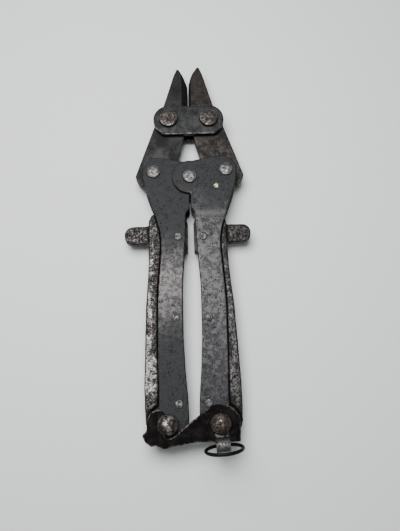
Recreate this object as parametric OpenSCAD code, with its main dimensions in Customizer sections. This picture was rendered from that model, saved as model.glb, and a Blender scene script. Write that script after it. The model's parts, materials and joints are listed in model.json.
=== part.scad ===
// Folding bolt and wire cutters: two jaws tied by link plates, two sheet-metal levers that turn
// on a centre pin, handles that fold into the levers, and a hook latch with a lanyard ring.
// Origin: axis of the centre pin, on the plane that the closed tool rests on. +Y points to the
// jaws, +Z away from the resting plane. Left parts are at -X.

/* [Linkage] */
// Centre pin to heel pin, across
heel_x = 20.2; // [19.5:0.1:21]
// Centre pin to heel pin, along
heel_y = 4.0; // [3.5:0.1:4.5]
// Centre pin to jaw pin, across
jaw_pin_x = 11.5; // [11:0.1:12]
// Centre pin to jaw pin, along
jaw_pin_y = 36.2; // [35.5:0.1:37]
// Centre pin to handle pin, across
grip_pin_x = 13.15; // [13:0.05:13.3]
// Handle pin below the centre pin
grip_pin_y = -133.8; // [-135:0.1:-133]

/* [Plates and jaws] */
// Thickness of a jaw
jaw_t = 5.5; // [5:0.1:5.6]
// Thickness of a lever plate
sheet_t = 2.0; // [1.6:0.1:2]
// Thickness of a link plate
link_t = 3.0; // [2.6:0.1:3]
// Length of the left jaw above its pin
left_jaw_len = 35.2; // [32:0.2:37]
// Length of the right jaw above its pin
right_jaw_len = 36.4; // [32:0.2:37]
// Width of the ground bevel on the front of the left jaw
left_grind_w = 3.4; // [2:0.2:4]
// Width of the ground bevel on the front of the right jaw
right_grind_w = 1.2; // [0.8:0.2:4]
// Space between the closed cutting edges
mouth_gap = 0.6; // [0.4:0.1:1]
// Radius of the lever bosses about the centre pin
boss_r = 9.8; // [9:0.1:10]

/* [Handles] */
// Width of the finger ears
ear_w = 10.4; // [8:0.2:12]
// Reach of the finger ears from the middle of the tool
ear_reach = 34.8; // [33:0.2:36]
// Outward turn of the folded left handle
left_grip_turn = 0.9; // [0:0.1:1]
// Outward turn of the folded right handle
right_grip_turn = -1.0; // [-1:0.1:0]
// Thickness of the outer band of a handle
band_t = 9.4; // [8:0.2:9.4]

/* [Latch and lanyard] */
// Thickness of the latch hook
latch_t = 2.2; // [2:0.1:2.2]
// Width of the lanyard strap
strap_w = 7.0; // [6:0.2:7]
// Thickness of the lanyard strap
strap_t = 0.9; // [0.8:0.05:0.9]
// Outer diameter of the lanyard ring
ring_d = 19.7; // [19:0.1:20]
// Wire diameter of the lanyard ring
wire_d = 1.7; // [1.5:0.1:1.7]
// Lean of the ring from upright, away from the tool
ring_lean = 14.5; // [10:0.5:20]

/* [Pins] */
// Head radius of the jaw pins
jaw_head_r = 5.4; // [5:0.1:5.6]
// Head radius of the heel and centre pins
heel_head_r = 3.9; // [3.8:0.05:4.2]
// Radius of the domes on the handle pins
dome_r = 5.4; // [5.2:0.1:5.6]
// Head radius of the small rivets
rivet_r = 2.3; // [2:0.1:2.4]

/* [Hidden] */
$fn = 64;

mid_z = 8.45;                      // middle plane of the jaws above the resting plane
inner_z = 2.85;                    // inner face of the inner sheets, from the middle plane
step_z = sheet_t + 0.1;            // rise from the inner to the outer sheets
outer_z = inner_z + step_z;        // inner face of the outer sheets
outer_top = outer_z + sheet_t;     // outer face of the outer sheets
inner_top = inner_z + sheet_t;     // outer face of the inner sheets
jog_top = -18;                     // where the joggled sheets start to bend down
jog_end = -23.5;                   // where they are down on the inner level
fit = 0.05;                        // running clearance on a pin, radial

jaw_pin_r = 3.2;
heel_pin_r = 2.4;
centre_pin_r = 2.0;
centre_play_r = 3.3;               // wide hole in the right plates, hidden under the heads
grip_pin_r = 3.0;
neck_r = 2.2;                      // thin neck of a handle pin, which the latch hooks
shank_r = 1.2;                     // small rivets

plate_end_r = 8.2;                 // round end of a lever plate, under the latch
knuckle_r = 9.5;                   // round root of a handle
band_start_r = 11.2;               // the thick band passes outside the plate ends
core_t = 5.3;                      // thin part of a handle, between the lever plates
strap_seat = 0.05;                 // play on each side of a strap leg
latch_z = mid_z + inner_top + strap_t + strap_seat;
front_leg_z = latch_z + latch_t + strap_seat;
dome_z = front_leg_z + strap_t + strap_seat;
strap_angle = 5;                   // strap's lean from straight down, towards +X
eye_s = 10;                        // pin to the middle of the strap's eye
eye_r = 2.7;
ring_r = (ring_d - wire_d) / 2;
rivet_spots = [[6.8, -34.2], [8.6, -79], [7.5, -123.5]];
grip_pin = [grip_pin_x, grip_pin_y];

// Rounded outline: each corner is [x, y, radius]; the arc is cut back where a side is short.
function unit(v) = v / norm(v);
function corner(a, b, c) =
    let (p = [b.x, b.y], u = unit([a.x, a.y] - p), v = unit([c.x, c.y] - p),
         half = acos(max(-1, min(1, u * v))) / 2,
         room = 0.48 * min(norm([a.x, a.y] - p), norm([c.x, c.y] - p)),
         cut = min(b.z / tan(half), room), r = cut * tan(half),
         mid = p + unit(u + v) * (r / sin(half)),
         from = p + u * cut, to = p + v * cut,
         steps = max(1, ceil((180 - 2 * half) / 14)))
    r < 0.05 || half > 89 ? [p] :
    [for (i = [0:steps]) mid + r * unit((from - mid) * (1 - i / steps) + (to - mid) * i / steps)];
function rounded(pts) =
    let (n = len(pts))
    [for (i = [0:n - 1]) each corner(pts[(i + n - 1) % n], pts[i], pts[(i + 1) % n])];

// Layer of a flat outline, from a height z above the middle plane.
module layer(z, t) {
    translate([0, 0, mid_z + z]) linear_extrude(t) children();
}

// Shows a right-hand shape on the left side as well.
module left() {
    mirror([1, 0, 0]) children();
}

// Turns a front shape into a rear one, about the Y axis of the middle plane.
module turned_over() {
    translate([0, 0, mid_z]) rotate([0, 180, 0]) translate([0, 0, -mid_z]) children();
}

// Hole through the whole tool.
module bore(x, y, r) {
    translate([x, y, -10]) cylinder(h = 60, r = r);
}

/* Link plates and jaw pins */

// Straight bottom with clipped corners, and a round lobe about each jaw pin.
module link_outline() {
    lobe_r = 8.7;
    half_w = jaw_pin_x + lobe_r;
    top_y = jaw_pin_y + 8.3;
    polygon(rounded([[-jaw_pin_x, top_y, 0], [jaw_pin_x, top_y, 0], [half_w, jaw_pin_y, 0],
                     [half_w - 0.8, 31, 3], [15, 26.6, 2], [-15, 26.6, 2],
                     [0.8 - half_w, 31, 3], [-half_w, jaw_pin_y, 0]]));
    for (side = [-1, 1]) translate([side * jaw_pin_x, jaw_pin_y]) circle(r = lobe_r);
}

module link_plate() {
    difference() {
        layer(inner_z, link_t) link_outline();
        for (side = [-1, 1]) bore(side * jaw_pin_x, jaw_pin_y, jaw_pin_r);
    }
}

module front_link_plate() {
    color("#3b3e42") link_plate();
}

module rear_link_plate() {
    color("#3b3e42") turned_over() link_plate();
}

// Pin with a slightly crowned head on each end; heads start at front_z and rear_z.
module headed_pin(r, head_r, front_z, front_h, rear_z, rear_h) {
    translate([0, 0, mid_z]) rotate_extrude() polygon([
        [0, rear_z - rear_h], [head_r - 0.8, rear_z - rear_h], [head_r, rear_z - rear_h + 0.7],
        [head_r, rear_z], [r, rear_z], [r, front_z], [head_r, front_z],
        [head_r, front_z + front_h - 0.7], [head_r - 0.9, front_z + front_h],
        [0, front_z + front_h]]);
}

module jaw_pin() {
    face = inner_z + link_t;
    translate([jaw_pin_x, jaw_pin_y, 0])
        headed_pin(jaw_pin_r, jaw_head_r, face, 2.2, -face, mid_z - face);
}

module left_jaw_pin() {
    color("#8d8780") left() jaw_pin();
}

module right_jaw_pin() {
    color("#8d8780") jaw_pin();
}

/* Jaws */

// Right-hand jaw: bow is how far the nose edge curves out from a straight line.
module jaw_outline(len, bow) {
    g = mouth_gap / 2;
    tip = jaw_pin_y + len;
    polygon(rounded([[g, jaw_pin_y + 1.5, 0.3], [g, tip - 11.8, 3], [2.7 - bow, tip - 5.6, 12],
                     [6.1, tip + 0.3, 0.9], [8.4, tip - 5, 4], [14.2, 47.1, 30],
                     [20, 32.5, 30], [30.6, 2.2, 2.5], [28.2, -3.2, 3], [21, -5.8, 5],
                     [12.5, 1.5, 5], [6.4, 12.2, 6], [3.2, 23.5, 12]]));
}

// Prism that grinds the front of the cutting edge down to a thin land.
module edge_grind(grind_w) {
    land = 0.9;
    rotate([90, 0, 0]) translate([0, mid_z, -90]) linear_extrude(90 - 46)
        polygon([[-1, land - 0.5], [0.2, land], [grind_w + 0.3, jaw_t / 2],
                 [grind_w + 0.3, 6], [-1, 6]]);
}

module jaw(len, bow, front_grind_w) {
    rear_grind_w = 3.4;
    difference() {
        layer(-jaw_t / 2, jaw_t) jaw_outline(len, bow);
        bore(jaw_pin_x, jaw_pin_y, jaw_pin_r + fit);
        bore(heel_x, heel_y, heel_pin_r + fit);
        edge_grind(front_grind_w);
        translate([0, 0, 2 * mid_z]) mirror([0, 0, 1]) edge_grind(rear_grind_w);
    }
}

module left_jaw() {
    color("#4a4e55") left() jaw(left_jaw_len, 0.1, left_grind_w);
}

module right_jaw() {
    color("#4f4842") jaw(right_jaw_len, 0.5, right_grind_w);
}

/* Lever plates */

// Outline of a right-hand lever plate, without its round ends.
module lever_outline() {
    polygon(rounded([[0.4, -6, 0], [0.4, -18.2, 1.5], [2.4, -20.6, 1.5], [2.6, -26, 10],
                     [3.5, -42, 60], [4.8, -60, 60], [4.9, -86, 80], [4.1, -105, 60],
                     [2.9, -120, 40], [2.5, -134, 20], [5, -141.2, 4], [15, -141.2, 4],
                     [18, -134, 4], [17.9, -118, 40], [18.2, -90, 80], [18, -66, 60], [16.8, -50, 40], [15.9, -38, 20],
                     [17, -30, 14], [19.6, -21, 20], [22.6, -13, 40], [25, -5.8, 30],
                     [26.3, 1, 20], [26.2, 8, 4.5], [20.5, 12.9, 6], [13.5, 12.4, 20],
                     [6.2, 10.7, 20], [0.4, 9.4, 2]]));
}

module lever_blank() {
    lever_outline();
    circle(r = boss_r);
    translate(grip_pin) circle(r = plate_end_r);
}

// Side view of a sheet that steps down from the outer to the inner level.
module joggle_profile() {
    rotate([90, 0, 90]) translate([0, mid_z, -40]) linear_extrude(80)
        polygon([[-160, inner_z], [jog_end, inner_z], [jog_top, outer_z], [30, outer_z],
                 [30, outer_top], [jog_top - 0.4, outer_top], [jog_end - 0.4, inner_top],
                 [-160, inner_top]]);
}

module plate_holes(centre_r) {
    bore(0, 0, centre_r);
    bore(heel_x, heel_y, heel_pin_r);
    bore(grip_pin_x, grip_pin_y, grip_pin_r);
    for (p = rivet_spots) bore(p.x, p.y, shank_r);
}

module flat_plate(centre_r) {
    difference() {
        layer(inner_z, sheet_t) lever_blank();
        plate_holes(centre_r);
    }
}

module joggled_plate(centre_r) {
    difference() {
        intersection() {
            layer(inner_z, outer_top - inner_z) lever_blank();
            joggle_profile();
        }
        plate_holes(centre_r);
    }
}

module right_front_plate() {
    color("#5d646e") joggled_plate(centre_play_r);
}

module left_front_plate() {
    color("#5d646e") left() flat_plate(centre_pin_r);
}

module right_rear_plate() {
    color("#5d646e") turned_over() left() flat_plate(centre_play_r);
}

module left_rear_plate() {
    color("#5d646e") turned_over() joggled_plate(centre_pin_r);
}

/* Pins, spacers and bush of the levers */

module left_heel_pin() {
    color("#b9b7b3") translate([-heel_x, heel_y, 0])
        headed_pin(heel_pin_r, heel_head_r, inner_top, 1.5, -outer_top, 1.5);
}

module right_heel_pin() {
    color("#b9b7b3") translate([heel_x, heel_y, 0])
        headed_pin(heel_pin_r, heel_head_r, outer_top, 1.5, -inner_top, 1.5);
}

// Washer that fills the joggle beside a jaw's heel.
module heel_spacer() {
    translate([heel_x, heel_y, mid_z + inner_z]) difference() {
        cylinder(h = step_z, r = 5.4);
        translate([0, 0, -1]) cylinder(h = step_z + 2, r = heel_pin_r);
    }
}

module right_heel_spacer() {
    color("#55585c") heel_spacer();
}

module left_heel_spacer() {
    color("#55585c") turned_over() heel_spacer();
}

module centre_pin() {
    head = mid_z - outer_top;
    color("#bdbbb6") headed_pin(centre_pin_r, heel_head_r + 0.1, outer_top + 0.05, head - 0.05,
                                -outer_top, head);
}

module centre_bush() {
    color("#6a6a68") translate([0, 0, mid_z - inner_z + 0.1]) difference() {
        cylinder(h = 2 * inner_z - 0.1, r = 6);
        translate([0, 0, -1]) cylinder(h = 2 * inner_z + 2, r = centre_pin_r);
    }
}

/* Spine bars and their rivets */

module bar_outline() {
    polygon(rounded([[2.9, -22.5, 0.8], [1.5, -26.5, 1], [1.8, -42.3, 0.4], [4.1, -43, 0.4],
                     [5.2, -60, 40], [5.3, -86, 40], [4.4, -105, 40], [3.3, -120, 20],
                     [3.1, -128, 1], [9.2, -127, 2], [10, -118, 20], [11, -86, 40],
                     [10.8, -60, 40], [9.2, -40, 30], [8.2, -24, 2]]));
}

module spine_bar() {
    difference() {
        layer(-inner_z, 2 * inner_z) bar_outline();
        for (p = rivet_spots) bore(p.x, p.y, shank_r);
        bore(grip_pin_x, grip_pin_y, knuckle_r + 0.5);
    }
}

module left_spine_bar() {
    color("#1d1e20") left() spine_bar();
}

module right_spine_bar() {
    color("#1d1e20") spine_bar();
}

module plate_rivets() {
    for (p = rivet_spots) translate([p.x, p.y, 0])
        translate([0, 0, mid_z]) rotate_extrude() polygon([
            [0, -inner_top - 0.8], [rivet_r - 0.7, -inner_top - 0.8],
            [rivet_r, -inner_top - 0.3], [rivet_r, -inner_top], [shank_r, -inner_top],
            [shank_r, inner_top], [rivet_r, inner_top], [rivet_r, inner_top + 0.3],
            [rivet_r - 0.7, inner_top + 0.8], [0, inner_top + 0.8]]);
}

module left_plate_rivets() {
    color("#7d7f80") left() plate_rivets();
}

module right_plate_rivets() {
    color("#7d7f80") plate_rivets();
}

/* Folding handles */

// Turns a handle about its pin; a positive turn swings its free end outwards.
module about_grip_pin(turn) {
    translate(grip_pin) rotate(-turn) translate(-grip_pin) children();
}

module ear_outline() {
    mid_y = -32.2;
    end_r = 4.7;
    polygon(rounded([[18, mid_y + ear_w / 2, 0], [ear_reach, mid_y + ear_w / 2, end_r],
                     [ear_reach, mid_y - ear_w / 2, end_r], [18, mid_y - ear_w / 2, 0]]));
}

// Upper end and outer edge of a folded right-hand handle.
grip_edge = [[14.6, -26, 3], [17, -21, 2], [19.4, -20.8, 2], [21.4, -25, 3], [21.5, -38, 40],
             [21.8, -52, 60], [23.5, -72, 80], [24.4, -96, 80], [25, -114, 40],
             [24.9, -125, 20]];

// Whole flat shape of a folded handle, straight up from its pin.
module handle_outline() {
    polygon(rounded(concat(grip_edge, [[24.2, -135, 3], [20.5, -139.6, 3], [12, -133, 0],
                                       [12.4, -110, 30], [13.2, -60, 60]])));
    ear_outline();
    translate(grip_pin) circle(r = knuckle_r);
}

// Part of the outline that stands outside the lever plates, where the handle is thick.
module band_outline(turn) {
    difference() {
        about_grip_pin(turn)
            polygon(rounded(concat(grip_edge, [[24.3, -134.4, 0.8], [14, -134.4, 0]])));
        translate([0.25, 0]) lever_outline();
        translate([-6, 0]) lever_outline();
        translate(grip_pin) circle(r = band_start_r);
    }
}

module handle(turn) {
    difference() {
        union() {
            layer(-core_t / 2, core_t) about_grip_pin(turn) handle_outline();
            layer(-band_t / 2, band_t) band_outline(turn);
        }
        bore(grip_pin_x, grip_pin_y, grip_pin_r + fit);
    }
}

module left_handle() {
    color("#8b8c8c") left() handle(left_grip_turn);
}

module right_handle() {
    color("#6f706f") handle(right_grip_turn);
}

/* Handle pins */

// Pin through lever plates and handle, with a neck and a domed head in front.
module handle_pin(head_z) {
    dome_h = 3.6;
    sphere_r = (dome_r * dome_r + dome_h * dome_h) / (2 * dome_h);
    low = mid_z - inner_top;
    translate(grip_pin) {
        translate([0, 0, low]) cylinder(h = 2 * inner_top, r = grip_pin_r);
        translate([0, 0, mid_z + inner_top]) cylinder(h = head_z - mid_z - inner_top + 0.5,
                                                      r = neck_r);
        translate([0, 0, head_z]) intersection() {
            translate([0, 0, dome_h - sphere_r]) sphere(r = sphere_r);
            cylinder(h = dome_h + 1, r = dome_r + 1);
        }
        translate([0, 0, low]) intersection() {
            translate([0, 0, sphere_r - dome_h]) sphere(r = sphere_r);
            translate([0, 0, -low]) cylinder(h = low, r = dome_r + 1);
        }
    }
}

module left_handle_pin() {
    color("#8f8a84") left() handle_pin(latch_z + latch_t + 0.25);
}

module right_handle_pin() {
    color("#8f8a84") handle_pin(dome_z);
}

/* Latch hook */

latch_disc_r = 9.9;
latch_low_y = -142.4;                        // straight lower edge of the round end
finger_r = 2 * grip_pin_x + neck_r + 0.2;    // inner wall of the hook, about the right pin

// The arm from the round end down under the left pin, and the finger up its far side.
module hook_outline() {
    difference() {
        polygon(rounded([[9.2, -124.6, 0], [2.4, -129.3, 20], [-4.1, -134.2, 20],
                         [-9.6, -139, 6], [-12.6, -140.4, 2], [-14.6, -139.6, 1],
                         [-14.6, -127.8, 0.3], [-17.6, -125.9, 2], [-21.9, -127.2, 4],
                         [-23.9, -131.5, 4], [-23.7, -136.4, 3], [-26.3, -138.4, 1.2],
                         [-24.4, -142, 2], [-21.4, -144.2, 1.2], [-19.4, -143.5, 1.5],
                         [-15.4, -145.3, 2.5], [-7.5, -143.8, 12], [0, latch_low_y, 20],
                         [22.8, latch_low_y, 0.6], [23.05, -133.8, 0], [13.2, -130, 0]]));
        intersection() {
            translate(grip_pin) circle(r = finger_r, $fn = 180);
            translate([-16, -139]) square([4, 16]);
        }
    }
}

module latch_hook() {
    color("#25221f") difference() {
        translate([0, 0, latch_z]) linear_extrude(latch_t) {
            hook_outline();
            intersection() {
                translate(grip_pin) circle(r = latch_disc_r);
                translate([0, latch_low_y]) square(30);
            }
        }
        bore(grip_pin_x, grip_pin_y, neck_r + fit);
    }
}

/* Lanyard strap and ring */

// Places a shape drawn with the strap running along +X from the right handle pin.
module along_strap() {
    translate(grip_pin) rotate(-90 + strap_angle) children();
}

// Side view of the strap: front leg, round eye and rear leg.
module strap_side() {
    out_r = eye_r + strap_t;
    back = -4.4;
    rear_z = mid_z + inner_top + strap_seat / 2;
    difference() {
        union() {
            translate([back, rear_z]) square([eye_s - back, strap_t]);
            translate([back, front_leg_z]) square([eye_s - eye_r - 0.1 - back, strap_t]);
            translate([eye_s, rear_z + out_r]) circle(r = out_r);
        }
        translate([eye_s, rear_z + out_r]) circle(r = eye_r);
        translate([back, rear_z + strap_t])
            square([eye_s - back - 1, front_leg_z - rear_z - strap_t]);
    }
}

module lanyard_strap() {
    color("#7d848a") difference() {
        intersection() {
            along_strap() rotate([90, 0, 0]) translate([0, 0, -strap_w / 2])
                linear_extrude(strap_w) strap_side();
            translate([0, 0, 5]) linear_extrude(30) along_strap() {
                circle(r = strap_w / 2 + 0.9);
                translate([0, -strap_w / 2]) square([20, strap_w]);
            }
        }
        bore(grip_pin_x, grip_pin_y, neck_r + fit);
    }
}

module lanyard_ring() {
    color("#141414") along_strap()
        translate([eye_s, 0, mid_z + inner_top + strap_seat / 2 + eye_r + strap_t])
            rotate([0, ring_lean, 0]) translate([0, 0, ring_r]) rotate([0, 90, 0])
                rotate_extrude($fn = 96) translate([ring_r, 0]) circle(d = wire_d, $fn = 24);
}

front_link_plate();
rear_link_plate();
left_jaw_pin();
right_jaw_pin();
left_jaw();
right_jaw();
left_heel_pin();
right_heel_pin();
left_heel_spacer();
right_heel_spacer();
centre_pin();
centre_bush();
left_front_plate();
left_rear_plate();
right_front_plate();
right_rear_plate();
left_spine_bar();
right_spine_bar();
left_plate_rivets();
right_plate_rivets();
left_handle();
right_handle();
left_handle_pin();
right_handle_pin();
latch_hook();
lanyard_strap();
lanyard_ring();
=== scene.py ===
import json
import math
import bmesh
import bpy
from mathutils import Matrix, Vector, kdtree, noise


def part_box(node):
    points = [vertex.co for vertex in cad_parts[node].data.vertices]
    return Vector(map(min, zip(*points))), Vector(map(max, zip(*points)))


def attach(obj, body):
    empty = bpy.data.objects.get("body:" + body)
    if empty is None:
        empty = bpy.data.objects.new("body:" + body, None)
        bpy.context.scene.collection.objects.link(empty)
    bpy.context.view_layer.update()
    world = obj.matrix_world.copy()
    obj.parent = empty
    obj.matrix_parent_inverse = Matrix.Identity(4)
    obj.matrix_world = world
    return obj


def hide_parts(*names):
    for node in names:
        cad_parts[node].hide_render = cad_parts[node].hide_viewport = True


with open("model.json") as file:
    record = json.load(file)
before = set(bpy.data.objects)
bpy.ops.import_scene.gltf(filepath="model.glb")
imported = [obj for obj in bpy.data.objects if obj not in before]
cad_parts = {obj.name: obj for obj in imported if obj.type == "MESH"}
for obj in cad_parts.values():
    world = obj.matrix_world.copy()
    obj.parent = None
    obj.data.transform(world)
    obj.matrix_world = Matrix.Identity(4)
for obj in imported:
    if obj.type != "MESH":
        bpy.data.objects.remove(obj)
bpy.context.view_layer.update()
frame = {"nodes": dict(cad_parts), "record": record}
nodes = frame["nodes"]
bodyOf = {n: b for b, names in frame["record"]["behaviour"]["bodies"].items() for n in names}
slotOf = {s["node"]: s["material_slot"] for s in frame["record"]["subparts"]}
mm = 0.001
print("stage: frame loaded,", len(nodes), "nodes")


# Short ways to add shader and geometry nodes.
def newGroup(name, inputs, outputs):
    tree = bpy.data.node_groups.new(name, "ShaderNodeTree")
    for label, kind, default in inputs:
        socket = tree.interface.new_socket(label, in_out="INPUT", socket_type=kind)
        if default is not None:
            socket.default_value = default
    for label in outputs:
        tree.interface.new_socket(label, in_out="OUTPUT", socket_type="NodeSocketFloat")
    return tree, tree.nodes.new("NodeGroupInput"), tree.nodes.new("NodeGroupOutput")


def put(tree, target, value):
    if isinstance(value, bpy.types.NodeSocket):
        tree.links.new(value, target)
    else:
        target.default_value = value


def calc(tree, operation, first, second=0.0, third=0.0):
    node = tree.nodes.new("ShaderNodeMath")
    node.operation = operation
    for target, value in zip(node.inputs, (first, second, third)):
        put(tree, target, value)
    return node.outputs[0]


def scaled(tree, vector, factor):
    node = tree.nodes.new("ShaderNodeVectorMath")
    node.operation = "SCALE"
    put(tree, node.inputs[0], vector)
    put(tree, node.inputs["Scale"], factor)
    return node.outputs[0]


def noiseAt(tree, vector, detail=4.0, rough=0.55, seed=0.0):
    node = tree.nodes.new("ShaderNodeTexNoise")
    node.noise_dimensions = "4D"
    node.inputs["Scale"].default_value = 1.0
    node.inputs["Detail"].default_value = detail
    node.inputs["Roughness"].default_value = rough
    put(tree, node.inputs["Vector"], vector)
    put(tree, node.inputs["W"], seed)
    return node.outputs["Fac"]


def ramped(tree, value, low, high, toLow=0.0, toHigh=1.0):
    node = tree.nodes.new("ShaderNodeMapRange")
    node.interpolation_type = "SMOOTHSTEP"
    for label, number in (("Value", value), ("From Min", low), ("From Max", high),
                          ("To Min", toLow), ("To Max", toHigh)):
        put(tree, node.inputs[label], number)
    return node.outputs["Result"]


def mixed(tree, factor, first, second):
    node = tree.nodes.new("ShaderNodeMix")
    node.data_type = "RGBA"
    put(tree, node.inputs["Factor"], factor)
    colours = [s for s in node.inputs if s.type == "RGBA"]
    put(tree, colours[0], first)
    put(tree, colours[1], second)
    return [s for s in node.outputs if s.type == "RGBA"][0]


def useGroup(tree, group, **values):
    node = tree.nodes.new("ShaderNodeGroup")
    node.node_tree = group
    for label, value in values.items():
        put(tree, node.inputs[label], value)
    return node.outputs


# Effects that several finishes share.
def mottleGroup():
    tree, given, made = newGroup("mottle", [
        ("Position", "NodeSocketVector", None), ("Size", "NodeSocketFloat", 6.0),
        ("Seed", "NodeSocketFloat", 0.0), ("Low", "NodeSocketFloat", 0.4),
        ("High", "NodeSocketFloat", 0.6)], ["Mask"])
    small = scaled(tree, given.outputs["Position"],
                   calc(tree, "DIVIDE", 1.0, given.outputs["Size"]))
    cloud = noiseAt(tree, small, 7.0, 0.68, given.outputs["Seed"])
    put(tree, made.inputs["Mask"],
        ramped(tree, cloud, given.outputs["Low"], given.outputs["High"]))
    return tree


def pitGroup():
    tree, given, made = newGroup("pits", [
        ("Position", "NodeSocketVector", None), ("Size", "NodeSocketFloat", 1.0),
        ("Cover", "NodeSocketFloat", 0.5), ("Seed", "NodeSocketFloat", 0.0)], ["Mask"])
    small = scaled(tree, given.outputs["Position"],
                   calc(tree, "DIVIDE", 1.0, given.outputs["Size"]))
    cells = tree.nodes.new("ShaderNodeTexVoronoi")
    cells.inputs["Scale"].default_value = 1.0
    put(tree, cells.inputs["Vector"], small)
    hole = ramped(tree, cells.outputs["Distance"], 0.42, 0.16)
    where = noiseAt(tree, scaled(tree, small, 0.33), 3.0, 0.6, given.outputs["Seed"])
    edge = calc(tree, "SUBTRACT", 0.78, calc(tree, "MULTIPLY", given.outputs["Cover"], 0.5))
    patch = ramped(tree, where, calc(tree, "SUBTRACT", edge, 0.06), edge)
    put(tree, made.inputs["Mask"], calc(tree, "MULTIPLY", hole, patch))
    return tree


def edgeGroup():
    tree, given, made = newGroup("wornEdges", [
        ("Position", "NodeSocketVector", None), ("Distance", "NodeSocketFloat", 5.0),
        ("Width", "NodeSocketFloat", 0.8), ("Seed", "NodeSocketFloat", 0.0)], ["Mask"])
    rough = noiseAt(tree, scaled(tree, given.outputs["Position"], 0.35), 6.0, 0.7,
                    given.outputs["Seed"])
    reach = calc(tree, "MULTIPLY", given.outputs["Width"], ramped(tree, rough, 0.36, 0.62))
    near = ramped(tree, given.outputs["Distance"], calc(tree, "ADD", reach, 0.02),
                  calc(tree, "MULTIPLY", reach, 0.45))
    put(tree, made.inputs["Mask"], near)
    return tree


def scratchGroup():
    tree, given, made = newGroup("scratches", [
        ("Position", "NodeSocketVector", None), ("Along", "NodeSocketFloat", 9.0),
        ("Across", "NodeSocketFloat", 0.5), ("Seed", "NodeSocketFloat", 0.0)], ["Mask"])
    split = tree.nodes.new("ShaderNodeSeparateXYZ")
    put(tree, split.inputs[0], given.outputs["Position"])
    joined = tree.nodes.new("ShaderNodeCombineXYZ")
    put(tree, joined.inputs[0], calc(tree, "DIVIDE", split.outputs[0], given.outputs["Across"]))
    put(tree, joined.inputs[1], calc(tree, "DIVIDE", split.outputs[1], given.outputs["Along"]))
    put(tree, joined.inputs[2], calc(tree, "DIVIDE", split.outputs[2], given.outputs["Across"]))
    lines = noiseAt(tree, joined.outputs[0], 2.0, 0.5, given.outputs["Seed"])
    put(tree, made.inputs["Mask"], ramped(tree, lines, 0.66, 0.74))
    return tree


effects = {"mottle": mottleGroup(), "pits": pitGroup(), "edges": edgeGroup(),
           "scratches": scratchGroup()}


# Colours are linear. Sizes and widths are millimetres; cover, rustCover and speck run 0 to 1.
# The band (painted highlight) is the stretch along the tool made lighter where the lamp's
# reflection falls: (low end, middle, high end).
# Its share is how much of the lightness it makes, and its floor how mottled the rest stays.
# The stripe is the bright outer side of a handle, partly wear and partly a painted highlight:
# (start, slope, strength), where the edge line is x = start + slope * y. The crease is a painted
# highlight across the bend of a sheet: (low end, middle, high end).
# fleck is the middle of a small splash of paint.
plainLook = dict(dark=(0.012, 0.0125, 0.0135), light=(0.03, 0.031, 0.032), mottleSize=4.0,
                 low=0.38, high=0.64, rust=(0.03, 0.016, 0.01), rustCover=0.0,
                 pit=(0.005, 0.0042, 0.0038), pitSize=1.0, cover=0.3, pitDepth=0.1,
                 pitShow=0.6, wearAndHighlight=(0.2, 0.19, 0.18), wornWidth=0.5, speck=0.0, scratch=0.0,
                 roughLow=0.42, roughHigh=0.62, metallic=0.85, grain=0.03, lump=0.08,
                 seed=0.0, band=None, bandWave=36.0, bandShare=0.6, bandFloor=0.3,
                 wornHighlightStripe=None, fleck=None, creaseHighlight=None)
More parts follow.
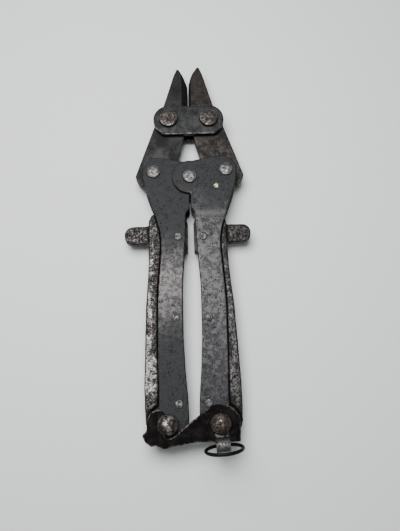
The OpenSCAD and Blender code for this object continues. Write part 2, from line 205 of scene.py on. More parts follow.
finishes = {
    "left_jaw_steel": dict(dark=(0.008, 0.0076, 0.0078), light=(0.0155, 0.015, 0.0152),
                           cover=0.1, mottleSize=9.0, scratch=0.12, wornWidth=0.35,
                           rustCover=0.1, wearAndHighlight=(0.09, 0.086, 0.082), seed=1.0),
    "right_jaw_steel": dict(dark=(0.0105, 0.009, 0.008), light=(0.024, 0.0205, 0.018),
                            rustCover=0.25, cover=0.35, mottleSize=3.2, scratch=0.1,
                            rust=(0.02, 0.0135, 0.01), wearAndHighlight=(0.1, 0.094, 0.088),
                            wornWidth=0.35, pitShow=0.45, seed=2.0),
    "link_steel": dict(dark=(0.0115, 0.0115, 0.0115), light=(0.022, 0.022, 0.0218),
                       cover=0.25, mottleSize=4.0, scratch=0.35, wornWidth=0.9,
                       wearAndHighlight=(0.115, 0.112, 0.108), rustCover=0.1, seed=3.0),
    "jaw_pin_steel": dict(dark=(0.017, 0.0132, 0.0115), light=(0.06, 0.051, 0.046),
                          pitSize=0.8, cover=0.7, pitDepth=0.18, pitShow=0.5,
                          mottleSize=1.6, rustCover=0.3, wornWidth=0.5, speck=0.15,
                          seed=4.0),
    "bright_pin_steel": dict(dark=(0.042, 0.038, 0.036), light=(0.118, 0.112, 0.107),
                             pitSize=0.8, cover=0.45, pitDepth=0.12, mottleSize=1.7,
                             rustCover=0.2, pitShow=0.6, wearAndHighlight=(0.4, 0.39, 0.38),
                             wornWidth=0.4, roughLow=0.34, roughHigh=0.55, seed=5.0),
    "spacer_steel": dict(seed=6.0),
    # The levers' lighter stretch along the tool is a painted highlight where the lamp's
    # reflection falls.
    "left_lever_steel": dict(dark=(0.0145, 0.0152, 0.0165), light=(0.046, 0.0425, 0.041),
                             pitSize=0.9, cover=0.36, pitDepth=0.1, pitShow=0.38, low=0.4,
                             mottleSize=2.0, high=0.6, scratch=0.1, speck=0.06, seed=7.0,
                             wearAndHighlight=(0.1, 0.095, 0.09), band=(-96.0, -58.0, -26.0),
                             bandShare=0.5, bandFloor=0.2),
    "right_lever_steel": dict(dark=(0.0155, 0.016, 0.017), light=(0.032, 0.0309, 0.0313),
                              pitSize=0.9, cover=0.4, pitDepth=0.12, pitShow=0.4, low=0.4,
                              mottleSize=2.5, high=0.6, scratch=0.1, speck=0.1, seed=7.6,
                              wearAndHighlight=(0.11, 0.105, 0.1), band=(-172.0, -38.0, -2.0),
                              bandShare=0.45, bandFloor=0.28, fleck=(14.6, -5.6, 15.2),
                              creaseHighlight=(-24.6, -21.4, -17.8)),
    # The spine bars' near-black colour is painted shade of the gap between the plates.
    "bar_steel": dict(dark=(0.0025, 0.0025, 0.003), light=(0.006, 0.006, 0.0065),
                      wornWidth=0.12, wearAndHighlight=(0.02, 0.02, 0.02), roughLow=0.6, grain=0.015,
                      roughHigh=0.75, lump=0.02, seed=8.0),
    "rivet_steel": dict(dark=(0.018, 0.018, 0.018), light=(0.1, 0.098, 0.096), mottleSize=1.4,
                        cover=0.4, pitSize=0.6, wornWidth=0.25, seed=9.0),
    "left_handle_steel": dict(dark=(0.011, 0.0098, 0.009), light=(0.038, 0.035, 0.033),
                              mottleSize=1.5, low=0.42, high=0.62, pitSize=0.9, cover=0.75,
                              pitDepth=0.18, pitShow=0.6, rustCover=0.2, wornWidth=0.4,
                              speck=0.2, wearAndHighlight=(0.205, 0.195, 0.187), seed=10.0,
                              wornHighlightStripe=(21.55, -0.0329, 0.9)),
    "right_handle_steel": dict(dark=(0.0105, 0.0097, 0.0092), light=(0.029, 0.0277, 0.0268),
                               mottleSize=1.7, low=0.42, high=0.62, pitSize=0.9, cover=0.75,
                               pitDepth=0.18, pitShow=0.6, rustCover=0.2, wornWidth=0.35,
                               speck=0.2, wearAndHighlight=(0.105, 0.101, 0.098), seed=11.0,
                               wornHighlightStripe=(17.1, -0.0658, 0.45)),
    "left_dome_steel": dict(dark=(0.02, 0.0145, 0.012), light=(0.2, 0.185, 0.175),
                            pitSize=0.75, cover=0.75, pitDepth=0.16, mottleSize=2.6,
                            low=0.44, high=0.6, rustCover=0.35, speck=0.25, wornWidth=0.2,
                            seed=12.0),
    "right_dome_steel": dict(dark=(0.019, 0.0137, 0.0106), light=(0.095, 0.078, 0.066),
                             pitSize=0.75, cover=0.75, pitDepth=0.16, mottleSize=1.6,
                             low=0.42, high=0.62, rustCover=0.35, speck=0.25, wornWidth=0.2,
                             seed=12.7),
    "latch_steel": dict(dark=(0.0012, 0.0007, 0.0006), light=(0.0024, 0.0015, 0.0012),
                        mottleSize=4.0, cover=0.3, rustCover=0.1, wearAndHighlight=(0.12, 0.11, 0.1),
                        rust=(0.007, 0.0035, 0.0026), wornWidth=0.9, roughLow=0.5,
                        roughHigh=0.7, scratch=0.08, metallic=0.9,
                        seed=13.0),
    # The strap's bright colour shows only across its bend, a painted highlight; the flat leg
    # stays dark.
    "strap_steel": dict(dark=(0.0035, 0.0028, 0.0026), light=(0.34, 0.33, 0.322), low=0.47,
                        high=0.56, mottleSize=1.1, cover=0.4, wornWidth=0.3, scratch=0.1,
                        seed=14.0, wearAndHighlight=(0.06, 0.057, 0.055), band=(-147.5, -144.5, -142.6),
                        bandWave=2.0, bandShare=0.06, bandFloor=0.0),
    "ring_steel": dict(dark=(0.003, 0.003, 0.003), light=(0.009, 0.0085, 0.008), cover=0.3,
                       mottleSize=2.5, roughLow=0.4, roughHigh=0.6, seed=15.0),
}


# The bright side of a handle, partly rubbed and partly a painted highlight: places along the
# tool and widths in millimetres.
wornHighlightSide = dict(begins=(-30.0, -42.0), thickens=(-55.0, -95.0), widens=(-96.0, -104.0),
                  stops=(-121.0, -115.0), narrow=3.4, wide=7.5)
paintSplash = dict(colour=(0.55, 0.5, 0.36, 1.0), ragged=7.0, reach=(4.35, 4.1))


def rgba(colour):
    return (colour[0], colour[1], colour[2], 1.0)


def buildFinish(name):
    look = dict(plainLook)
    look.update(finishes[name])
    material = bpy.data.materials.new(name)
    material.use_nodes = True
    tree = material.node_tree
    shader = tree.nodes["Principled BSDF"]
    shader.inputs["Metallic"].default_value = look["metallic"]
    place = scaled(tree, tree.nodes.new("ShaderNodeTexCoord").outputs["Object"], 1000.0)
    seed = look["seed"]
    gap = tree.nodes.new("ShaderNodeAttribute")
    gap.attribute_name = "edgeGap"
    pitted = tree.nodes.new("ShaderNodeAttribute")
    pitted.attribute_name = "pit"

    cloud = useGroup(tree, effects["mottle"], Position=place, Size=look["mottleSize"],
                     Seed=seed, Low=look["low"], High=look["high"])["Mask"]
    split = tree.nodes.new("ShaderNodeSeparateXYZ")
    put(tree, split.inputs[0], place)
    across, along = split.outputs[0], split.outputs[1]
    if look["band"]:                       # painted highlight: lighter stretch along the piece where the lamp's reflection falls
        wave = look["bandWave"]
        shift = calc(tree, "SUBTRACT", along, wave / 2)
        wavy = calc(tree, "MULTIPLY_ADD",
                    noiseAt(tree, scaled(tree, place, 3.2 / wave), 4.0, 0.6, 3.0), wave, shift)
        low, middle, high = look["band"]
        bright = calc(tree, "MULTIPLY", ramped(tree, wavy, low, middle),
                      ramped(tree, wavy, high, middle))
        uneven = calc(tree, "MULTIPLY_ADD", bright, 1.0, look["bandFloor"])
        uneven = calc(tree, "MULTIPLY", uneven, 1.0 - look["bandShare"])
        cloud = calc(tree, "MULTIPLY_ADD", bright, look["bandShare"],
                     calc(tree, "MULTIPLY", cloud, uneven))
    colour = mixed(tree, cloud, rgba(look["dark"]), rgba(look["light"]))
    # Painted highlight across the bend of the plate, in the worn colour, which also serves real
    # edge wear.
    if look["creaseHighlight"]:
        low, middle, high = look["creaseHighlight"]
        brightening = calc(tree, "MULTIPLY", ramped(tree, along, low, middle),
                      ramped(tree, along, high, middle))
        colour = mixed(tree, calc(tree, "MULTIPLY", brightening, 0.7), colour, rgba(look["wearAndHighlight"]))
    # Bright outer side of a handle: partly wear, partly a painted highlight on the rounded edge.
    if look["wornHighlightStripe"]:
        start, slope, strength = look["wornHighlightStripe"]
        line = calc(tree, "MULTIPLY_ADD", along, slope, start)
        inside = calc(tree, "SUBTRACT", line, calc(tree, "ABSOLUTE", across))
        inner = ramped(tree, along, *wornHighlightSide["widens"], wornHighlightSide["narrow"],
                       wornHighlightSide["wide"])
        outer = calc(tree, "MULTIPLY", ramped(tree, inside, 0.3, 0.9),
                     ramped(tree, inside, inner, calc(tree, "SUBTRACT", inner, 0.7)))
        brightening = calc(tree, "ADD", noiseAt(tree, scaled(tree, place, 0.24), 6.0, 0.74, seed),
                      ramped(tree, along, *wornHighlightSide["thickens"], 0.0, 0.06))
        ends = calc(tree, "MULTIPLY", ramped(tree, along, *wornHighlightSide["begins"]),
                    ramped(tree, along, *wornHighlightSide["stops"]))
        brightening = calc(tree, "MULTIPLY", ramped(tree, brightening, 0.5, 0.6), ends)
        colour = mixed(tree, calc(tree, "MULTIPLY", calc(tree, "MULTIPLY", brightening, outer),
                                  strength), colour, rgba(look["wearAndHighlight"]))
    if look["rustCover"] > 0:
        stain = useGroup(tree, effects["mottle"], Position=place, Size=4.5, Seed=seed + 30,
                         Low=0.62 - 0.2 * look["rustCover"],
                         High=0.78 - 0.2 * look["rustCover"])["Mask"]
        colour = mixed(tree, calc(tree, "MULTIPLY", stain, 0.85), colour, rgba(look["rust"]))
    if look["scratch"] > 0:
        lines = useGroup(tree, effects["scratches"], Position=place, Seed=seed + 5)["Mask"]
        colour = mixed(tree, calc(tree, "MULTIPLY", lines, look["scratch"]), colour,
                       rgba(look["wearAndHighlight"]))
    if look["speck"] > 0:
        dots = useGroup(tree, effects["pits"], Position=place, Size=0.8, Cover=0.75,
                        Seed=seed + 9)["Mask"]
        colour = mixed(tree, calc(tree, "MULTIPLY", dots, look["speck"]), colour,
                       rgba(look["wearAndHighlight"]))
    wear = useGroup(tree, effects["edges"], Position=place, Distance=gap.outputs["Fac"],
                    Width=look["wornWidth"], Seed=seed)["Mask"]
    colour = mixed(tree, calc(tree, "MULTIPLY", wear, 0.7), colour, rgba(look["wearAndHighlight"]))
    holes = useGroup(tree, effects["pits"], Position=place, Size=look["pitSize"],
                     Cover=look["cover"], Seed=seed + 17)["Mask"]
    deep = calc(tree, "MAXIMUM", holes, pitted.outputs["Fac"])
    colour = mixed(tree, calc(tree, "MULTIPLY", deep, look["pitShow"]), colour,
                   rgba(look["pit"]))
    if look["fleck"]:                      # small splash of cream paint
        apart = tree.nodes.new("ShaderNodeVectorMath")
        apart.operation = "DISTANCE"
        put(tree, apart.inputs[0], place)
        apart.inputs[1].default_value = look["fleck"]
        ragged = calc(tree, "ADD", apart.outputs["Value"], calc(
            tree, "MULTIPLY", noiseAt(tree, scaled(tree, place, 2.0), 3.0, 0.6, 2.0),
            paintSplash["ragged"]))
        colour = mixed(tree, ramped(tree, ragged, *paintSplash["reach"]), colour,
                       paintSplash["colour"])
    put(tree, shader.inputs["Base Color"], colour)

    shine = calc(tree, "SUBTRACT", ramped(tree, cloud, 0.0, 1.0, look["roughHigh"],
                                          look["roughLow"]), calc(tree, "MULTIPLY", wear, 0.08))
    put(tree, shader.inputs["Roughness"],
        calc(tree, "ADD", shine, calc(tree, "MULTIPLY", deep, 0.2)))
    grain = noiseAt(tree, scaled(tree, place, 2.6), 5.0, 0.65, seed)
    lumps = noiseAt(tree, scaled(tree, place, 0.45), 3.0, 0.5, seed + 2)
    height = calc(tree, "MULTIPLY_ADD", grain, look["grain"],
                  calc(tree, "MULTIPLY", lumps, look["lump"]))
    height = calc(tree, "SUBTRACT", height, calc(tree, "MULTIPLY", holes, look["pitDepth"]))
    bump = tree.nodes.new("ShaderNodeBump")
    bump.inputs["Distance"].default_value = mm
    bump.inputs["Strength"].default_value = 1.0
    put(tree, bump.inputs["Height"], height)
    put(tree, shader.inputs["Normal"], bump.outputs[0])
    return material


steel = {name: buildFinish(name) for name in finishes}
print("stage: finishes built,", len(steel))


# Worn metal pieces are grown from copies of the CAD shapes.
sharpAngle = math.radians(40)


def cleanCopy(nodeName):
    bm = bmesh.new()
    bm.from_mesh(nodes[nodeName].data)
    bmesh.ops.remove_doubles(bm, verts=bm.verts, dist=1e-6)
    empty = [f for f in bm.faces if f.calc_area() < 1e-13]
    bmesh.ops.delete(bm, geom=empty, context="FACES_ONLY")
    return bm


def sharpEdgeTree(bm, step=0.0004):
    points = []
    for edge in bm.edges:
        if edge.calc_face_angle(0.0) < sharpAngle:
            continue
        first, second = edge.verts[0].co, edge.verts[1].co
        count = max(1, math.ceil((second - first).length / step))
        points.extend(first.lerp(second, i / count) for i in range(count + 1))
    tree = kdtree.KDTree(len(points))
    for i, point in enumerate(points):
        tree.insert(point, i)
    tree.balance()
    return tree


def remeshed(bm, name, voxel):
    source = bpy.data.meshes.new(name + "Source")
    bm.to_mesh(source)
    holder = bpy.data.objects.new(name + "Holder", source)
    bpy.context.scene.collection.objects.link(holder)
    modifier = holder.modifiers.new("voxels", "REMESH")
    modifier.mode = "VOXEL"
    modifier.voxel_size = voxel * mm
    modifier.adaptivity = 0.0
    graph = bpy.context.evaluated_depsgraph_get()
    mesh = bpy.data.meshes.new_from_object(holder.evaluated_get(graph))
    bpy.data.objects.remove(holder)
    bpy.data.meshes.remove(source)
    mesh.name = name
    return mesh


def hollow(point, size, cover, seed):
    shift = Vector((seed * 7.3, seed * 3.1, seed * 5.7))
    cell = point / size + shift
    distance = noise.voronoi(cell)[0][0]
    patch = noise.noise(cell * 0.3) * 0.5 + 0.5
    edge = 0.75 - cover * 0.5
    inside = min(1.0, max(0.0, (0.45 - distance) / 0.3))
    return inside * inside * min(1.0, max(0.0, (patch - edge) / 0.1))


def finishPiece(mesh, name, nodeName, smoothAngle=None):
    mesh.materials.clear()
    mesh.materials.append(steel[slotOf[nodeName]])
    for polygon in mesh.polygons:
        polygon.material_index = 0
        polygon.use_smooth = True
    if smoothAngle:
        mesh.set_sharp_from_angle(angle=math.radians(smoothAngle))
    piece = bpy.data.objects.new(name, mesh)
    bpy.context.scene.collection.objects.link(piece)
    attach(piece, bodyOf[nodeName])
    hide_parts(nodeName)
    return piece


# voxel and depths in millimetres; soft is the number of smoothing passes that round the edges.
wornPieces = {
    "left_jaw": dict(voxel=0.4, soft=2, dent=0.06, dentSize=9.0, pit=0.08, pitSize=1.5,
                     cover=0.2),
    "right_jaw": dict(voxel=0.4, soft=2, dent=0.06, dentSize=8.0, pit=0.12, pitSize=1.4,
                      cover=0.5),
    "front_link_plate": dict(voxel=0.35, soft=3, dent=0.05, dentSize=6.0, pit=0.1,
                             pitSize=1.2, cover=0.4),
    "rear_link_plate": dict(voxel=0.4, soft=3, dent=0.05, dentSize=6.0, pit=0.1, pitSize=1.2,
                            cover=0.4),
    "left_front_plate": dict(voxel=0.4, soft=2, dent=0.04, dentSize=9.0, pit=0.07,
                             pitSize=1.3, cover=0.35),
    "right_front_plate": dict(voxel=0.4, soft=2, dent=0.04, dentSize=9.0, pit=0.08,
                              pitSize=1.3, cover=0.45),
    "left_rear_plate": dict(voxel=0.45, soft=2, dent=0.04, dentSize=9.0, pit=0.08,
                            pitSize=1.3, cover=0.4),
    "right_rear_plate": dict(voxel=0.45, soft=2, dent=0.04, dentSize=9.0, pit=0.08,
                             pitSize=1.3, cover=0.4),
    "left_handle": dict(voxel=0.42, soft=8, dent=0.2, dentSize=5.0, pit=0.25, pitSize=1.3,
                        cover=0.6),
    "right_handle": dict(voxel=0.42, soft=8, dent=0.2, dentSize=5.0, pit=0.25, pitSize=1.3,
                         cover=0.6),
    "latch_hook": dict(voxel=0.3, soft=3, dent=0.05, dentSize=5.0, pit=0.08, pitSize=1.0,
                       cover=0.4),
}


def buildWorn(nodeName, shape, seed):
    bm = cleanCopy(nodeName)
    edges = sharpEdgeTree(bm)
    mesh = remeshed(bm, nodeName + "Worn", shape["voxel"])
    bm.free()
    soft = bmesh.new()
    soft.from_mesh(mesh)
    for i in range(shape["soft"]):
        bmesh.ops.smooth_vert(soft, verts=soft.verts, factor=0.5, use_axis_x=True,
                              use_axis_y=True, use_axis_z=True)
    soft.normal_update()
    gapLayer = soft.verts.layers.float.new("edgeGap")
    pitLayer = soft.verts.layers.float.new("pit")
    for vertex in soft.verts:
        point = vertex.co * 1000.0
        broad = noise.noise(point / shape["dentSize"] + Vector((seed, 0, 0))) * 0.5 + 0.5
        depth = hollow(point, shape["pitSize"], shape["cover"], seed)
        vertex[gapLayer] = edges.find(vertex.co)[2] * 1000.0
        vertex[pitLayer] = depth
        vertex.co -= vertex.normal * (broad * shape["dent"] + depth * shape["pit"] + 0.02) * mm
    soft.to_mesh(mesh)
    soft.free()
    return finishPiece(mesh, nodeName + "Worn", nodeName)


for i, (nodeName, shape) in enumerate(wornPieces.items()):
    piece = buildWorn(nodeName, shape, i + 1.0)
    print("stage:", piece.name, len(piece.data.polygons), "faces")


# Crisp pieces keep their flat faces and only lose their sharp edges.
bevelled = {"left_spine_bar": 0.25, "right_spine_bar": 0.25, "lanyard_strap": 0.22}


def buildBevelled(nodeName, width):
    bm = cleanCopy(nodeName)
    edges = sharpEdgeTree(bm)
    bmesh.ops.dissolve_limit(bm, angle_limit=math.radians(0.6), verts=bm.verts, edges=bm.edges)
    sharp = [e for e in bm.edges if e.calc_face_angle(0.0) > sharpAngle]
    bmesh.ops.bevel(bm, geom=sharp, offset=width * mm, segments=3, profile=0.5,
                    affect="EDGES", clamp_overlap=True)
    bmesh.ops.triangulate(bm, faces=[f for f in bm.faces if len(f.verts) > 4])
    layer = bm.verts.layers.float.new("edgeGap")
    for vertex in bm.verts:
        vertex[layer] = edges.find(vertex.co)[2] * 1000.0
    mesh = bpy.data.meshes.new(nodeName + "Bevelled")
    bm.to_mesh(mesh)
    bm.free()
    return finishPiece(mesh, nodeName + "Bevelled", nodeName, smoothAngle=35)


for nodeName, width in bevelled.items():
    buildBevelled(nodeName, width)
print("stage: bars and strap bevelled")


# Pins, rivets and the ring are made by Geometry Nodes.
def newGeometryTree(name, inputs):
    tree = bpy.data.node_groups.new(name, "GeometryNodeTree")
    tree.interface.new_socket("Geometry", in_out="INPUT", socket_type="NodeSocketGeometry")
    for label, default in inputs:
        kind = "NodeSocketInt" if isinstance(default, int) else "NodeSocketFloat"
        if default is None:
            kind = "NodeSocketMaterial"
        socket = tree.interface.new_socket(label, in_out="INPUT", socket_type=kind)
        if default is not None:
            socket.default_value = default
    tree.interface.new_socket("Geometry", in_out="OUTPUT", socket_type="NodeSocketGeometry")
    return tree, tree.nodes.new("NodeGroupInput"), tree.nodes.new("NodeGroupOutput")


def vectorCalc(tree, operation, first, second=None):
    node = tree.nodes.new("ShaderNodeVectorMath")
    node.operation = operation
    put(tree, node.inputs[0], first)
    if second is not None:
        put(tree, node.inputs["Scale"] if operation == "SCALE" else node.inputs[1], second)
    return node.outputs["Value"] if operation in ("LENGTH", "DISTANCE") else node.outputs[0]


def combined(tree, x=0.0, y=0.0, z=0.0):
    node = tree.nodes.new("ShaderNodeCombineXYZ")
    for target, value in zip(node.inputs, (x, y, z)):
        put(tree, target, value)
    return node.outputs[0]


def finishTree(tree, given, made, geometry):
    real = tree.nodes.new("GeometryNodeRealizeInstances")
    put(tree, real.inputs[0], geometry)
    paint = tree.nodes.new("GeometryNodeSetMaterial")
    put(tree, paint.inputs["Geometry"], real.outputs[0])
    put(tree, paint.inputs["Material"], given.outputs["Material"])
    put(tree, made.inputs[0], paint.outputs[0])


def named(tree, label):
    node = tree.nodes.new("GeometryNodeInputNamedAttribute")
    node.data_type = "FLOAT"
    node.inputs["Name"].default_value = label
    return node.outputs["Attribute"]


def stored(tree, geometry, label, value):
    node = tree.nodes.new("GeometryNodeStoreNamedAttribute")
    node.data_type = "FLOAT"
    node.domain = "POINT"
    node.inputs["Name"].default_value = label
    put(tree, node.inputs["Geometry"], geometry)
    put(tree, node.inputs["Value"], value)
    return node.outputs[0]


def instanced(tree, points, shape, rotation=None, scale=None, selection=None):
    node = tree.nodes.new("GeometryNodeInstanceOnPoints")
    put(tree, node.inputs["Points"], points)
    put(tree, node.inputs["Instance"], shape)
    if rotation is not None:
        turn = tree.nodes.new("FunctionNodeEulerToRotation")
        put(tree, turn.inputs[0], rotation)
        put(tree, node.inputs["Rotation"], turn.outputs[0])
    if scale is not None:
        put(tree, node.inputs["Scale"], scale)
    if selection is not None:
        put(tree, node.inputs["Selection"], selection)
    return node.outputs[0]


# Crowned, hammered head on every point; flip turns one over, stretch alters its height.
def peenedTree():
    tree, given, made = newGeometryTree("peenedHeads", [
        ("Radius", 4.0), ("Height", 1.5), ("Crown", 4.0), ("Dent", 0.1), ("Dent Size", 2.0),
        ("Shank Radius", 2.0), ("Shank Length", 10.0), ("Seed", 1.0), ("Material", None)])
    asked = given.outputs
    ball = tree.nodes.new("GeometryNodeMeshUVSphere")
    ball.inputs["Segments"].default_value = 72
    ball.inputs["Rings"].default_value = 56
    ball.inputs["Radius"].default_value = 1.0
    split = tree.nodes.new("ShaderNodeSeparateXYZ")
    put(tree, split.inputs[0], tree.nodes.new("GeometryNodeInputPosition").outputs[0])
    across = combined(tree, split.outputs[0], split.outputs[1])
    out = calc(tree, "MINIMUM", vectorCalc(tree, "LENGTH", across), 1.0)
    drop = calc(tree, "SUBTRACT", 1.0, calc(tree, "POWER", out, asked["Crown"]))
    rise = calc(tree, "POWER", calc(tree, "MAXIMUM", drop, 0.0),
                calc(tree, "DIVIDE", 1.0, asked["Crown"]))
    above = calc(tree, "GREATER_THAN", split.outputs[2], 0.0)
    lift = calc(tree, "MULTIPLY", calc(tree, "MULTIPLY", rise, above), asked["Height"])
    flat = combined(tree, calc(tree, "MULTIPLY", split.outputs[0], asked["Radius"]),
                    calc(tree, "MULTIPLY", split.outputs[1], asked["Radius"]), lift)
    rimmed = stored(tree, ball.outputs["Mesh"], "edgeGap", calc(
        tree, "MULTIPLY", asked["Radius"], calc(tree, "ABSOLUTE",
                                                calc(tree, "SUBTRACT", 0.88, out))))
    rimmed = stored(tree, rimmed, "reach", out)
    shaped = tree.nodes.new("GeometryNodeSetPosition")
    put(tree, shaped.inputs["Geometry"], rimmed)
    put(tree, shaped.inputs["Position"], flat)

    now = tree.nodes.new("GeometryNodeInputPosition").outputs[0]
    fine = vectorCalc(tree, "SCALE", now, calc(tree, "DIVIDE", 1.0, asked["Dent Size"]))
    lumps = noiseAt(tree, fine, 3.0, 0.6, asked["Seed"])
    cells = tree.nodes.new("ShaderNodeTexVoronoi")
    cells.voronoi_dimensions = "4D"
    cells.inputs["Scale"].default_value = 1.4
    put(tree, cells.inputs["Vector"], fine)
    put(tree, cells.inputs["W"], asked["Seed"])
    hole = ramped(tree, cells.outputs["Distance"], 0.42, 0.16)
    hole = calc(tree, "MULTIPLY", hole, ramped(tree, lumps, 0.44, 0.56))
    inward = calc(tree, "MULTIPLY", asked["Dent"],
                  calc(tree, "ADD", ramped(tree, lumps, 0.7, 0.3), hole))
    rim = ramped(tree, named(tree, "reach"), 0.86, 0.97)     # darker round the edge of the head
    marked = stored(tree, shaped.outputs[0], "pit",
                    calc(tree, "MAXIMUM", calc(tree, "MULTIPLY", hole, 0.8), rim))
    dented = tree.nodes.new("GeometryNodeSetPosition")
    put(tree, dented.inputs["Geometry"], marked)
    put(tree, dented.inputs["Offset"], vectorCalc(
        tree, "SCALE", tree.nodes.new("GeometryNodeInputNormal").outputs[0],
        calc(tree, "MULTIPLY", inward, -1.0)))
    heads = instanced(tree, asked["Geometry"], dented.outputs[0],
                      combined(tree, calc(tree, "MULTIPLY", named(tree, "flip"), math.pi)),
                      combined(tree, mm, mm, calc(tree, "MULTIPLY", named(tree, "stretch"), mm)))

    stem = tree.nodes.new("GeometryNodeMeshCylinder")
    stem.inputs["Vertices"].default_value = 48
    put(tree, stem.inputs["Radius"], asked["Shank Radius"])
    put(tree, stem.inputs["Depth"], calc(tree, "ADD", asked["Shank Length"], 0.6))
    down = tree.nodes.new("GeometryNodeTransform")
    put(tree, down.inputs["Geometry"], stem.outputs["Mesh"])
    put(tree, down.inputs["Translation"],
        combined(tree, z=calc(tree, "MULTIPLY", asked["Shank Length"], -0.5)))
    stems = instanced(tree, asked["Geometry"], down.outputs[0], None, combined(tree, mm, mm, mm),
                      calc(tree, "LESS_THAN", named(tree, "flip"), 0.5))
    both = tree.nodes.new("GeometryNodeJoinGeometry")
    tree.links.new(stems, both.inputs[0])
    tree.links.new(heads, both.inputs[0])
    finishTree(tree, given, made, both.outputs[0])
    return tree


# Round wire bent into a closed ring, square to a given direction.
def wireTree():
    tree, given, made = newGeometryTree("wireRing", [
        ("Ring Radius", 9.0), ("Wire Radius", 0.85), ("Material", None)])
    tree.interface.new_socket("Normal", in_out="INPUT", socket_type="NodeSocketVector")
    asked = given.outputs
    loop = tree.nodes.new("GeometryNodeCurvePrimitiveCircle")
    loop.inputs["Resolution"].default_value = 128
    put(tree, loop.inputs["Radius"], asked["Ring Radius"])
    wire = tree.nodes.new("GeometryNodeCurvePrimitiveCircle")
    wire.inputs["Resolution"].default_value = 20
    put(tree, wire.inputs["Radius"], asked["Wire Radius"])
    swept = tree.nodes.new("GeometryNodeCurveToMesh")
    put(tree, swept.inputs["Curve"], loop.outputs[0])
    put(tree, swept.inputs["Profile Curve"], wire.outputs[0])
    unworn = stored(tree, swept.outputs[0], "edgeGap", 9.0)
    turn = tree.nodes.new("FunctionNodeAlignRotationToVector")
    turn.axis = "Z"
    put(tree, turn.inputs["Vector"], asked["Normal"])
    placed = tree.nodes.new("GeometryNodeInstanceOnPoints")
    put(tree, placed.inputs["Points"], asked["Geometry"])
    put(tree, placed.inputs["Instance"], unworn)
    put(tree, placed.inputs["Rotation"], turn.outputs[0])
    put(tree, placed.inputs["Scale"], combined(tree, mm, mm, mm))
    finishTree(tree, given, made, placed.outputs[0])
    return tree


def treePiece(nodeName, tree, points, values):
    spots = bpy.data.meshes.new(nodeName + "Spots")
    spots.from_pydata([Vector(p[:3]) for p in points], [], [])
    for label, column in (("flip", 3), ("stretch", 4)):
        layer = spots.attributes.new(label, "FLOAT", "POINT")
        for i, point in enumerate(points):
            layer.data[i].value = point[column]
    holder = bpy.data.objects.new(nodeName + "Holder", spots)
    bpy.context.scene.collection.objects.link(holder)
    modifier = holder.modifiers.new("shape", "NODES")
    modifier.node_group = tree
    sockets = {s.name: s.identifier for s in tree.interface.items_tree if s.in_out == "INPUT"}
    for label, value in values.items():
        modifier[sockets[label]] = value
    modifier[sockets["Material"]] = steel[slotOf[nodeName]]
    graph = bpy.context.evaluated_depsgraph_get()
    mesh = bpy.data.meshes.new_from_object(holder.evaluated_get(graph))
    bpy.data.objects.remove(holder)
    bpy.data.meshes.remove(spots)
    return finishPiece(mesh, nodeName + "Made", nodeName, smoothAngle=50)


def headSpots(nodeName, faceFront, faceRear, height, positions=None):
    low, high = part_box(nodeName)
    middle = [((low[0] + high[0]) / 2, (low[1] + high[1]) / 2)]
    spots = []
    for x, y in positions or middle:
        spots.append((x, y, faceFront, 0.0, (high[2] - faceFront) / (height * mm)))
        spots.append((x, y, faceRear, 1.0, (faceRear - low[2]) / (height * mm)))
    return spots


heads = peenedTree()
topOf = {name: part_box(name)[1][2] for name in nodes}
bottomOf = {name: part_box(name)[0][2] for name in nodes}
jawPin = dict(front=topOf["front_link_plate"], rear=bottomOf["rear_link_plate"], radius=5.4,
              height=2.2, crown=4.5, shank=3.2, dent=0.14, size=1.3)
heelPin = dict(radius=3.9, height=1.5, crown=3.0, shank=2.4, dent=0.12, size=1.6)
handlePin = dict(rear=bottomOf["left_rear_plate"] + 2.1 * mm, radius=5.4, height=3.6,
                 crown=2.1, shank=2.2, dent=0.16, size=1.2)
pinShapes = {
    "left_jaw_pin": jawPin,
    "right_jaw_pin": jawPin,
    "left_heel_pin": dict(heelPin, front=topOf["left_front_plate"],
                          rear=bottomOf["left_rear_plate"]),
    "right_heel_pin": dict(heelPin, front=topOf["right_front_plate"],
                           rear=bottomOf["right_rear_plate"]),
    "centre_pin": dict(front=topOf["right_front_plate"] + 0.05 * mm,
                       rear=bottomOf["left_rear_plate"], radius=4.0, height=1.45, crown=3.2,
                       shank=2.0, dent=0.1, size=1.6),
    "left_handle_pin": dict(handlePin, front=topOf["latch_hook"] + 0.25 * mm),
    "right_handle_pin": dict(handlePin, front=topOf["latch_hook"] + 1.0 * mm),
}


def buildHeads(nodeName, shape, seed, positions=None):
    spots = headSpots(nodeName, shape["front"], shape["rear"], shape["height"], positions)
    values = {"Radius": shape["radius"], "Height": shape["height"], "Crown": shape["crown"],
              "Dent": shape["dent"], "Dent Size": shape["size"],
              "Shank Radius": shape["shank"], "Seed": seed,
              "Shank Length": (shape["front"] - shape["rear"]) / mm}
    return treePiece(nodeName, heads, spots, values)


for i, (nodeName, shape) in enumerate(pinShapes.items()):
    buildHeads(nodeName, shape, 2.0 + 3.7 * i)

rivetShape = dict(front=topOf["left_front_plate"], rear=bottomOf["right_rear_plate"],
                  radius=2.3, height=0.8, crown=3.0, shank=1.2, dent=0.08, size=1.1)
rivetPlaces = [(6.8, -34.2), (8.6, -79.0), (7.5, -123.5)]      # on the right lever, mm
for side, nodeName in ((-1, "left_plate_rivets"), (1, "right_plate_rivets")):
    buildHeads(nodeName, rivetShape, 40.0 + side,
               [(side * x * mm, y * mm) for x, y in rivetPlaces])

ringMount = [m for m in frame["record"]["mounts"] if m["name"] == "lanyard_ring"][0]
ringShape = {"Ring Radius": 8.98, "Wire Radius": 0.85, "Normal": ringMount["axis"]}
treePiece("lanyard_ring", wireTree(), [tuple(ringMount["pos_m"]) + (0.0, 1.0)], ringShape)
print("stage: pins, rivets and ring made")

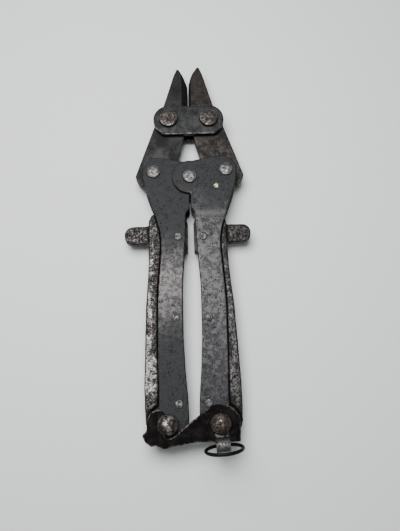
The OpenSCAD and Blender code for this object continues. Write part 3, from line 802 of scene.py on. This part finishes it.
for nodeName in ("left_heel_spacer", "right_heel_spacer", "centre_bush"):
    for slot in nodes[nodeName].material_slots:
        slot.material = steel[slotOf[nodeName]]


# Floor, light and camera; lengths in metres, power in watts.
studio = dict(
    floorSize=1.6, floorTint=(0.60, 0.605, 0.6), floorRoughness=0.75,
    sky=(0.9, 0.93, 0.95), skyStrength=0.28,
    lights={
        "windowLight": dict(place=(-0.07, 0.05, 0.45), aim=(-0.02, 0.0, 0.0), size=0.32,
                            power=4.75, tint=(0.98, 0.99, 1.0)),
        "fillLight": dict(place=(0.1, -0.6, 0.6), aim=(0.0, 0.02, 0.0), size=0.5, power=0.6,
                          tint=(1.0, 1.0, 1.0)),
    })


def buildFloor():
    mesh = bpy.data.meshes.new("floor")
    half = studio["floorSize"] / 2
    mesh.from_pydata([(-half, -half, 0), (half, -half, 0), (half, half, 0), (-half, half, 0)],
                     [], [(0, 1, 2, 3)])
    floor = bpy.data.objects.new("floor", mesh)
    bpy.context.scene.collection.objects.link(floor)
    material = bpy.data.materials.new("floorPaper")
    material.use_nodes = True
    shader = material.node_tree.nodes["Principled BSDF"]
    shader.inputs["Base Color"].default_value = rgba(studio["floorTint"])
    shader.inputs["Roughness"].default_value = studio["floorRoughness"]
    mesh.materials.append(material)


def addLight(name, place, aim, size, power, tint):
    data = bpy.data.lights.new(name, "AREA")
    data.shape = "DISK"
    data.size = size
    data.energy = power
    data.color = tint
    light = bpy.data.objects.new(name, data)
    light.location = place
    light.rotation_euler = (Vector(aim) - Vector(place)).to_track_quat("-Z", "Y").to_euler()
    bpy.context.scene.collection.objects.link(light)


# The camera's height and its foot on the floor in metres, its angles in degrees.
view = dict(height=0.343, tilt=16.0, turn=1.3, nadir=(0.0025, -0.1455), lens=43.4)


def buildCamera():
    turn = math.radians(-view["turn"])
    right = Vector((math.cos(turn), math.sin(turn), 0.0))
    ahead = Vector((-math.sin(turn), math.cos(turn), 0.0))
    tilt = math.radians(view["tilt"])
    forward = ahead * math.sin(tilt) - Vector((0, 0, 1)) * math.cos(tilt)
    up = right.cross(forward)
    data = bpy.data.cameras.new("camera")
    data.sensor_width = 36.0
    data.lens = view["lens"]
    data.clip_start = 0.01
    camera = bpy.data.objects.new("camera", data)
    turned = Matrix((right, up, -forward)).transposed().to_4x4()
    turned.translation = Vector((view["nadir"][0], view["nadir"][1], view["height"]))
    camera.matrix_world = turned
    bpy.context.scene.collection.objects.link(camera)
    bpy.context.scene.camera = camera


buildFloor()
for name, lamp in studio["lights"].items():
    addLight(name, **lamp)
world = bpy.data.worlds.new("studio")
world.use_nodes = True
sky = world.node_tree.nodes["Background"]
sky.inputs["Color"].default_value = rgba(studio["sky"])
sky.inputs["Strength"].default_value = studio["skyStrength"]
bpy.context.scene.world = world
buildCamera()
print("stage: floor, light and camera set")
